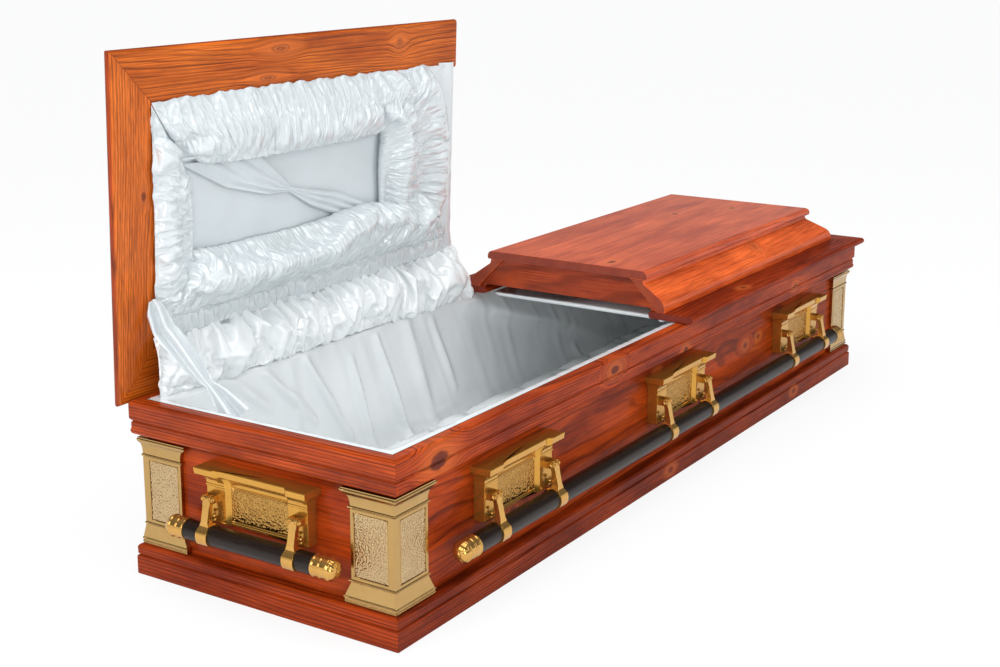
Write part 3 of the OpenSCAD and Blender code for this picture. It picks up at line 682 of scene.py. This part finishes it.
def rippled(points, pleat, height, slant=0.0, seed=0.0):
    """Small uneven pleats across the panel, pleat mm apart and height mm high, that start the gathers."""
    rows, cols = points.shape[:2]
    normals = outward(points)
    run = np.concatenate([[0], np.cumsum(np.linalg.norm(np.diff(points[:, cols // 2], axis=0), axis=1))])
    moved = points.copy()
    for i in range(rows):
        for j in range(cols):
            v = j / (cols - 1)
            s = (run[i] + slant * v * MM) / (pleat * MM)
            wave = noise.noise((s, v * 1.6, seed)) + 0.5 * noise.noise((s * 2.3, v * 2.6, seed + 7))
            moved[i, j] += normals[i, j] * wave * height * MM * 2 * math.sin(math.pi * v) ** 0.5
    return moved


def gathered(name, points, held, fullness, most, least=0.1, stiffness=0.05, steps=24):
    """Cloth simulation: the panel is cut larger than the seams that hold it, and buckles into gathers.

    held(u, v) is true where it is stitched, and fullness(u, v) goes from 0, least extra cloth, to 1, most.
    """
    rows, cols = points.shape[:2]
    mesh = bpy.data.meshes.new(name)
    mesh.from_pydata([tuple(p) for p in points.reshape(-1, 3)], [], grid_faces(rows, cols))
    cloth = bpy.data.objects.new(name, mesh)
    bpy.context.scene.collection.objects.link(cloth)
    stitched = cloth.vertex_groups.new(name="stitched")
    tight = cloth.vertex_groups.new(name="tight")
    for i in range(rows):
        for j in range(cols):
            u, v = i / (rows - 1), j / (cols - 1)
            if held(u, v) or i < STITCH_ROWS or i >= rows - STITCH_ROWS:
                stitched.add([i * cols + j], 1.0, "REPLACE")
            tight.add([i * cols + j], 1.0 - fullness(u, v), "REPLACE")
    modifier = cloth.modifiers.new("cloth", "CLOTH")
    settings = modifier.settings
    settings.vertex_group_mass = "stitched"
    settings.vertex_group_shrink = "tight"
    settings.shrink_min = -most
    settings.shrink_max = -least
    settings.quality = 5
    settings.mass = 0.15
    settings.tension_stiffness = settings.compression_stiffness = 15
    settings.shear_stiffness = 6
    settings.bending_stiffness = stiffness
    settings.tension_damping = settings.compression_damping = settings.shear_damping = 2
    settings.bending_damping = 0.2
    settings.effector_weights.gravity = 0.0
    modifier.collision_settings.use_collision = False
    modifier.point_cache.frame_start = 1
    modifier.point_cache.frame_end = steps + 5
    for step in range(1, steps + 1):
        bpy.context.scene.frame_set(step)
    settled = cloth.evaluated_get(bpy.context.evaluated_depsgraph_get())
    buckled = np.array([v.co[:] for v in settled.data.vertices]).reshape(rows, cols, 3)
    bpy.data.objects.remove(cloth)
    bpy.data.meshes.remove(mesh)
    bpy.context.scene.frame_set(1)
    return buckled


def soft_piece(name, points, material, body, closed=False, levels=1):
    """A satin piece from its grid of points, smoothed by one subdivision."""
    rows, cols = points.shape[:2]
    piece = new_piece(name, points.reshape(-1, 3), grid_faces(rows, cols, closed), material, body,
                      "white_satin")
    if levels:
        smooth = piece.modifiers.new("smooth", "SUBSURF")
        smooth.levels = smooth.render_levels = levels
    return piece


# The padded border of the head lid: across the top, round the corner and down beside the split
FIELD = (-868, -290, -100, 57)      # the sunk field's edges: head, split, front and back
BORDER = (-955, -34, -226, 205)     # the lining's outer edges, in the same order


def long_puff_place(u, v):
    inner = (through(u, (0, FIELD[0]), (0.5, -330), (0.57, -297), (0.64, FIELD[1]), (1, FIELD[1])),
             through(u, (0, FIELD[2]), (0.5, FIELD[2]), (0.57, -98), (0.64, -88), (0.74, -60), (1, 64)))
    outer = (through(u, (0, BORDER[0]), (0.5, -262), (0.6, -118), (0.68, BORDER[1]), (1, BORDER[1])),
             through(u, (0, BORDER[2]), (0.68, BORDER[2]), (0.78, -110), (1, 172)))
    tuck = 0.25 + 0.75 * min(1, u / 0.03) ** 0.5
    proud = through(v, (0, -13), (0.06, -6), (1, 2)) + 31 * tuck * swell(v, 0.66)
    return on_lid(inner[0] + (outer[0] - inner[0]) * v, inner[1] + (outer[1] - inner[1]) * v, proud)


def side_puff_place(u, v):
    inner = (through(u, (0, FIELD[0]), (0.75, FIELD[0]), (1, -890)),
             through(u, (0, FIELD[2]), (0.75, 62), (1, 150)))
    outer = (BORDER[0], through(u, (0, BORDER[2]), (1, 205)))
    tuck = 0.25 + 0.75 * min(1, u / 0.05, (1 - u) / 0.05) ** 0.5
    proud = through(v, (0, -13), (0.08, -6), (1, 2)) + 25 * tuck * swell(v, 0.66)
    return on_lid(inner[0] + (outer[0] - inner[0]) * v, inner[1] + (outer[1] - inner[1]) * v, proud)


ROLL_SEAM = 0.76        # how far down the roll its lower row of stitches runs


def roll_place(u, v):
    head = through(v, (0, FIELD[0]), (0.5, -900), (1, -944))
    split = through(v, (0, -150), (0.4, -78), (ROLL_SEAM, -58), (1, -48))
    end = min(1, u / 0.05, (1 - u) / 0.06)
    round_end = max(0.0, 1 - (1 - end) ** 2) ** 0.5
    back = through(v, (0, FIELD[3]), (ROLL_SEAM, 172), (1, 217))
    proud = through(v, (0, -13), (0.05, -6), (ROLL_SEAM, 14), (1, 13))
    if v < ROLL_SEAM:
        proud += 44 * swell(v / ROLL_SEAM, 0.8) * (0.3 + 0.7 * round_end)
    return on_lid(head + (split - head) * u, back - 6 * u, proud)


def apron_place(u, v):
    """From the seam on the lid, out in a puff, and down to the top of the back board."""
    top = on_lid(through(u, (0, -962), (1, -12)), through(u, (0, 206), (0.9, 205), (1, 198)), 5)
    foot = (through(u, (0, -984), (0.1, -876), (0.9, -62), (1, 42)), through(u, (0, 262), (0.5, 254), (1, 251)),
            through(u, (0, 334), (0.5, 334), (0.85, 328), (1, 318)))
    puff = 20 * swell(v) * min(1, 0.2 + u / 0.04, 0.2 + (1 - u) / 0.04)
    return (top[0] + (foot[0] - top[0]) * v, top[1] + (foot[1] - top[1]) * v - puff,
            top[2] + (foot[2] - top[2]) * v)


def at_edge(u, v):
    return v <= 0 or v >= 1


def shirred(seam, rows, every=4):
    """Stitched at both edges, and by every few threads along a seam between them."""
    return lambda u, v: at_edge(u, v) or (abs(v - seam) < 0.016 and round(u * (rows - 1)) % every == 0)


long_puff = gathered("head_lid_long_puff", rippled(panel_points(560, 32, long_puff_place), 8, 2.6, seed=3.1),
                     shirred(0.516, 560),
                     lambda u, v: through(v, (0, 1), (0.55, 1), (0.7, 0.35), (0.9, 0.05), (1, 0)),
                     most=0.3, least=0.05, stiffness=0.01)
side_puff = gathered("head_lid_side_puff", rippled(panel_points(150, 26, side_puff_place), 9, 2.6, seed=8.4),
                     shirred(0.36, 150),
                     lambda u, v: through(v, (0, 1), (0.4, 1), (0.6, 0.4), (1, 0.05)), most=0.3, least=0.05,
                     stiffness=0.01)
roll = gathered("head_lid_roll", rippled(panel_points(400, 42, roll_place), 8, 2.4, slant=40, seed=5.7),
                lambda u, v: at_edge(u, v) or (abs(v - ROLL_SEAM) < 0.013 and round(u * 399) % 3 == 0),
                lambda u, v: 1.0 if v < ROLL_SEAM else 0.3, most=0.3, stiffness=0.01)
apron = gathered("hinge_apron", rippled(panel_points(240, 34, apron_place), 58, 5, slant=30, seed=2.2), at_edge,
                 lambda u, v: 1.0, most=0.34, stiffness=2.0)

puffs = [soft_piece("head_lid_long_puff", long_puff, satin_white, "head_lid", closed=True),
         soft_piece("head_lid_side_puff", side_puff, satin_white, "head_lid", closed=True),
         soft_piece("head_lid_roll", roll, satin_white, "head_lid", closed=True)]
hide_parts("head_lid_lining")

hinge_apron = soft_piece("hinge_apron", apron, satin_painted_lighter, None)
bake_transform(hinge_apron)


# The field: tricot stretched flat on a board, with a bow of the same cloth pinched across it
def field_place(u, v):
    x, y = FIELD[0] - 14 + u * (FIELD[1] - FIELD[0] + 28), FIELD[2] - 14 + v * (FIELD[3] - FIELD[2] + 28)
    return on_lid(x, y, -6 + 1.2 * noise.noise((x / 90, y / 60, 2.0)))


def bow_place(u, v):
    """A strip from the field's front corner to its back edge, pinched in the middle. v runs across it."""
    upper = (through(u, (0, -673), (0.35, -604), (0.47, -572), (0.75, -420), (1, -300)),
             through(u, (0, -101), (0.35, -44), (0.47, -17), (0.75, 14), (1, 60)))
    lower = (through(u, (0, -876), (0.25, -760), (0.4, -645), (0.47, -578), (0.7, -510), (1, -430)),
             through(u, (0, -101), (0.25, -43), (0.4, -13), (0.47, -9), (0.7, 30), (1, 61)))
    x, y = upper[0] + (lower[0] - upper[0]) * v, upper[1] + (lower[1] - upper[1]) * v
    pinch = math.exp(-((u - 0.47) / 0.05) ** 2)
    spread = math.hypot(upper[0] - lower[0], upper[1] - lower[1])
    folds = abs(math.sin(math.pi * (v * 3 + 0.3 + u * 0.6))) ** 1.4 * min(5, spread / 12)
    return on_lid(x, y, -3 + 3 * swell(v) + folds + 3 * pinch)


field = soft_piece("head_lid_field", panel_points(60, 20, field_place), tricot_white, "head_lid")
bow = soft_piece("head_lid_bow", panel_points(110, 44, bow_place), tricot_white, "head_lid", levels=0)


# A bound edge beside the split, and the tie that stops the lid
def binding_place(u, v):
    y = through(u, (0, BORDER[2]), (1, 203))
    flare = through(u, (0, 0), (0.9, 0), (1, 9))
    # Its inner half lies flat under the border's edge; the outer half is turned over a cord
    proud = through(v, (0, -2), (0.5, 3)) + 7 * swell(max(0, (v - 0.5) / 0.5))
    return on_lid(-78 + 64 * v + flare * v, y, proud + 1.2 * noise.noise((u * 14, v * 2, 4.0)))


binding = soft_piece("head_lid_binding", panel_points(120, 12, binding_place), satin_white, "head_lid")


def tie_place(u, v):
    """A twisted band of satin from the lid's corner down to the top of the head board."""
    middle = (through(u, (0, -968), (0.3, -958), (1, -952)),
              through(u, (0, 288), (0.2, 268), (0.45, 200), (0.6, 172), (1, 100)),
              through(u, (0, 509), (0.2, 458), (0.45, 398), (0.6, 372), (1, 320)))
    wide = through(u, (0, 15), (0.06, 37), (0.25, 45), (0.45, 37), (0.62, 17), (0.75, 34), (1, 58))
    across = (v - 0.5) * wide
    deep = 0.24 * wide * math.sin(math.pi * (3.4 * v + 1.7 * u)) + 5 * swell(v)
    return (middle[0] + 0.69 * across - 0.68 * deep, middle[1] - 0.49 * across - 0.6 * deep,
            middle[2] + 0.525 * across + 0.35 * deep)


tie = soft_piece("lid_tie", panel_points(70, 26, tie_place), satin_white, None)
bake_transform(tie)


# The box: one sheet round all four walls, turned over the tops of the boards
WALL_X, WALL_Y, CORNER = 977, 252, 30
LAP_X, LAP_Y = 1001.5, 276.6        # where the sheet ends on the tops of the boards
# Folds on the back wall: (x and z of one end, of the other, half width, height), in mm
WALL_FOLDS = [((-718, 322), (-562, 176), 8, 12), ((-589, 312), (-449, 108), 8, 13),
              ((-444, 282), (-372, 66), 7, 11), ((-357, 306), (-243, 46), 9, 15),
              ((-640, 300), (-610, 70), 22, 6), ((-250, 310), (-150, 60), 18, 9),
              ((-800, 318), (-700, 240), 10, 8), ((-150, 300), (-60, 120), 9, 8),
              ((-14, 316), (418, 184), 30, 15), ((418, 184), (952, 31), 26, 12), ((92, 274), (469, 154), 14, 8),
              ((469, 154), (714, 50), 14, 8), ((481, 98), (524, 30), 10, 8)]
ROUND_BOX = [(-WALL_X + CORNER, -WALL_Y), (WALL_X - CORNER, -WALL_Y), (WALL_X, -WALL_Y + CORNER),
             (WALL_X, WALL_Y - CORNER), (WALL_X - CORNER, WALL_Y), (-WALL_X + CORNER, WALL_Y),
             (-WALL_X, WALL_Y - CORNER), (-WALL_X, -WALL_Y + CORNER)]


def wall_path(step=7.0):
    """Points along the four walls with rounded corners, and the outward direction at each."""
    stops = []
    for k, start in enumerate(ROUND_BOX):
        end = ROUND_BOX[(k + 1) % 8]
        if k % 2 == 0:
            count = int(math.dist(start, end) / step)
            out = ((0, -1), (1, 0), (0, 1), (-1, 0))[k // 2]
            stops += [((start[0] + (end[0] - start[0]) * i / count,
                        start[1] + (end[1] - start[1]) * i / count), out) for i in range(count)]
        else:
            first = -math.pi / 2 + (k // 2) * math.pi / 2
            middle = (math.copysign(WALL_X - CORNER, start[0] + end[0]),
                      math.copysign(WALL_Y - CORNER, start[1] + end[1]))
            for i in range(6):
                turn = first + math.pi / 2 * i / 6
                out = (math.cos(turn), math.sin(turn))
                stops.append(((middle[0] + CORNER * out[0], middle[1] + CORNER * out[1]), out))
    return stops


def ridge(x, z, fold):
    """Height at (x, z) of a soft fold between two points on the back wall."""
    (x0, z0), (x1, z1), half_width, height = fold
    length = math.hypot(x1 - x0, z1 - z0)
    share = min(1, max(0, ((x - x0) * (x1 - x0) + (z - z0) * (z1 - z0)) / length ** 2))
    away = math.hypot(x - x0 - share * (x1 - x0), z - z0 - share * (z1 - z0))
    rise = height * math.exp(-(away / half_width) ** 2 * 1.2)
    return rise * (0.25 + 0.75 * math.sin(math.pi * (0.12 + 0.8 * share)))


def wall_lining():
    """Points of the sheet: down each wall with its folds, out over the bed, and puckered over the boards."""
    stops = wall_path()
    levels = [34, 46, 56, 64, 72, 80] + list(np.linspace(90, 318, 32)) + [322, 326]
    rows = []
    for (x, y), out in stops:
        row = []
        back_wall = out[1] > 0.9
        for z in levels:
            inward = min(30, 12 * max(0, (92 - z) / 30) ** 2) + 2.2 * noise.noise((x / 70, y / 70, z / 160))
            inward += 3.0 * max(0, noise.noise((x / 28 + z / 60, y / 28, z / 300 + 5)))
            if back_wall:
                inward += sum(ridge(x, z, fold) for fold in WALL_FOLDS)
            elif z > 200:
                inward += 1.6 * noise.noise((x / 16, y / 16, z / 120 + 9)) * (z - 200) / 130
            inward = max(inward, -1.5)
            if z > 320:
                inward = min(inward, 3.0)
            row.append((x - out[0] * inward, y - out[1] * inward, z))
        turned_x = max(-LAP_X, min(LAP_X, x + 60 * out[0]))
        turned_y = max(-LAP_Y, min(LAP_Y, y + 60 * out[1]))
        pucker = noise.noise((x / 13, y / 13, 2.5)) + 0.6 * noise.noise((x / 6, y / 6, 8.5))
        for share, height in ((0.1, 329.5), (0.3, 333.2), (0.6, 334.4), (1.0, 334.9)):
            sunk = max(0, 2.2 * pucker * (1 - share))
            row.append((x + (turned_x - x) * share, y + (turned_y - y) * share, height - sunk))
        rows.append(row)
    rows.append(rows[0])
    return np.array(rows) * MM


walls = soft_piece("wall_lining_sheet", wall_lining(), satin_painted_lighter, "box", levels=0)
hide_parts("wall_lining")


def bed_place(u, v):
    x, y = -972 + 1944 * u, -247 + 494 * v
    edge = min(1, min(u, 1 - u) * 1944 / 60, min(v, 1 - v) * 494 / 60)
    return (x, y, 30 + 34 * (1 - (1 - edge) ** 2) ** 0.5 + 2 * noise.noise((x / 200, y / 120, 3.0)))


bed_top = gathered("bed_pad_cover", rippled(panel_points(190, 50, bed_place), 90, 2.5, seed=6.6), at_edge,
                   lambda u, v: 1.0, most=0.06, least=0.02, stiffness=4.0, steps=16)
bed_top[:, :, 2] = np.maximum(bed_top[:, :, 2], 0.026)
bed = soft_piece("bed_pad_cover", bed_top, satin_painted_lighter, "box", closed=True, levels=0)
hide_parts("bed_pad")


# The foot lid: a plain panel of satin under a thin pad
foot_low, foot_high = [[c / MM for c in corner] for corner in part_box("foot_lid_lining")]


def foot_panel_place(u, v):
    x = foot_low[0] + 2 + (foot_high[0] - foot_low[0] - 4) * u
    y = foot_low[1] + 2 + (foot_high[1] - foot_low[1] - 4) * v
    edge = min(1, min(u, 1 - u) * 925 / 30, min(v, 1 - v) * 450 / 30)
    sag = 13 * (1 - (1 - edge) ** 2) ** 0.5
    return (x, y, LID_UNDER - 1 - sag - 1.5 * noise.noise((x / 40, y / 110, 7.0)) * edge)


foot_panel = soft_piece("foot_lid_panel_cloth", panel_points(150, 60, foot_panel_place), satin_painted_lighter,
                        "foot_lid", closed=True, levels=0)
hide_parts("foot_lid_lining")


# ---------------------------------------------------------------- floor, light and camera

def seen_directly(tree):
    """1 for what the camera sees, and for what it sees in metal and lacquer."""
    path = node(tree, "ShaderNodeLightPath")
    either = maths(tree, "MAXIMUM", path.outputs["Is Camera Ray"], path.outputs["Is Glossy Ray"])
    return maths(tree, "MAXIMUM", either.outputs[0], path.outputs["Is Transmission Ray"]).outputs[0]


def set_stage():
    """A white sweep, soft light from above and both sides, and the camera."""
    world = bpy.data.worlds.new("studio")
    bpy.context.scene.world = world
    world.use_nodes = True
    tree = world.node_tree
    room = tree.nodes["Background"]
    tune(room, {"Color": tone("#eceef0"), "Strength": 1.0})
    # What the camera, metal and lacquer see: white at eye level, dimmer overhead between the lamps
    place = node(tree, "ShaderNodeTexCoord")
    height = node(tree, "ShaderNodeSeparateXYZ", {0: place.outputs["Generated"]})
    sweep = node(tree, "ShaderNodeValToRGB", {0: height.outputs["Z"]},
                 stops=[(0.0, grey(1.0)), (1.0, grey(0.5)), (0.1, grey(1.0)), (0.26, grey(0.1)),
                        (0.7, grey(0.2))])
    backdrop = node(tree, "ShaderNodeBackground", {"Color": sweep.outputs[0], "Strength": 1.0})
    both = node(tree, "ShaderNodeMixShader", {0: seen_directly(tree), 1: room.outputs[0],
                                              2: backdrop.outputs[0]})
    tree.links.new(both.outputs[0], tree.nodes["World Output"].inputs["Surface"])

    material, tree, shader = new_material("paper_floor")
    tune(shader, {"Base Color": tone("#f4f4f4"), "Roughness": 0.9, "Specular IOR Level": 0.0})
    # Lit from below like a light table, so that it reads white and still keeps a soft shadow
    glow = node(tree, "ShaderNodeEmission", {"Color": grey(1.0), "Strength": 1.0})
    path = node(tree, "ShaderNodeLightPath")
    lit = node(tree, "ShaderNodeMapRange", {0: path.outputs["Is Camera Ray"], 3: 0.3, 4: 0.86})
    share = maths(tree, "MULTIPLY", seen_directly(tree), lit.outputs[0])
    table = node(tree, "ShaderNodeMixShader", {0: share.outputs[0], 1: shader.outputs[0], 2: glow.outputs[0]})
    tree.links.new(table.outputs[0], tree.nodes["Material Output"].inputs["Surface"])
    half = 30.0
    mesh = bpy.data.meshes.new("floor")
    mesh.from_pydata([(-half, -half, 0), (half, -half, 0), (half, half, 0), (-half, half, 0)], [],
                     [(0, 1, 2, 3)])
    mesh.materials.append(material)
    floor = bpy.data.objects.new("floor", mesh)
    bpy.context.scene.collection.objects.link(floor)

    for name, spot, size, power in (("soft_top", (-0.6, -0.2, 3.4), 2.4, 38),
                                    ("soft_front", (0.6, -4.2, 2.2), 2.6, 33),
                                    ("soft_left", (-4.6, 0.4, 2.4), 2.2, 74),
                                    ("soft_low", (-3.0, -1.7, 1.1), 0.9, 16)):
        lamp = bpy.data.lights.new(name, "AREA")
        lamp.shape = "SQUARE"
        lamp.size = size
        lamp.energy = power
        holder = bpy.data.objects.new(name, lamp)
        holder.location = spot
        holder.rotation_euler = (Vector((0, 0, 0.3)) - Vector(spot)).to_track_quat("-Z", "Y").to_euler()
        bpy.context.scene.collection.objects.link(holder)

    camera = bpy.data.cameras.new("camera")
    camera.sensor_width = 36
    camera.lens = 56.14
    camera.shift_y = -0.06
    holder = bpy.data.objects.new("camera", camera)
    holder.location = (-2.92054, -1.73074, 1.17873)
    aim = Vector((-0.25574, 0, 0.46042)) - holder.location
    holder.rotation_euler = aim.to_track_quat("-Z", "Y").to_euler()
    bpy.context.scene.collection.objects.link(holder)
    bpy.context.scene.camera = holder
    bpy.context.scene.view_settings.view_transform = "Standard"


set_stage()
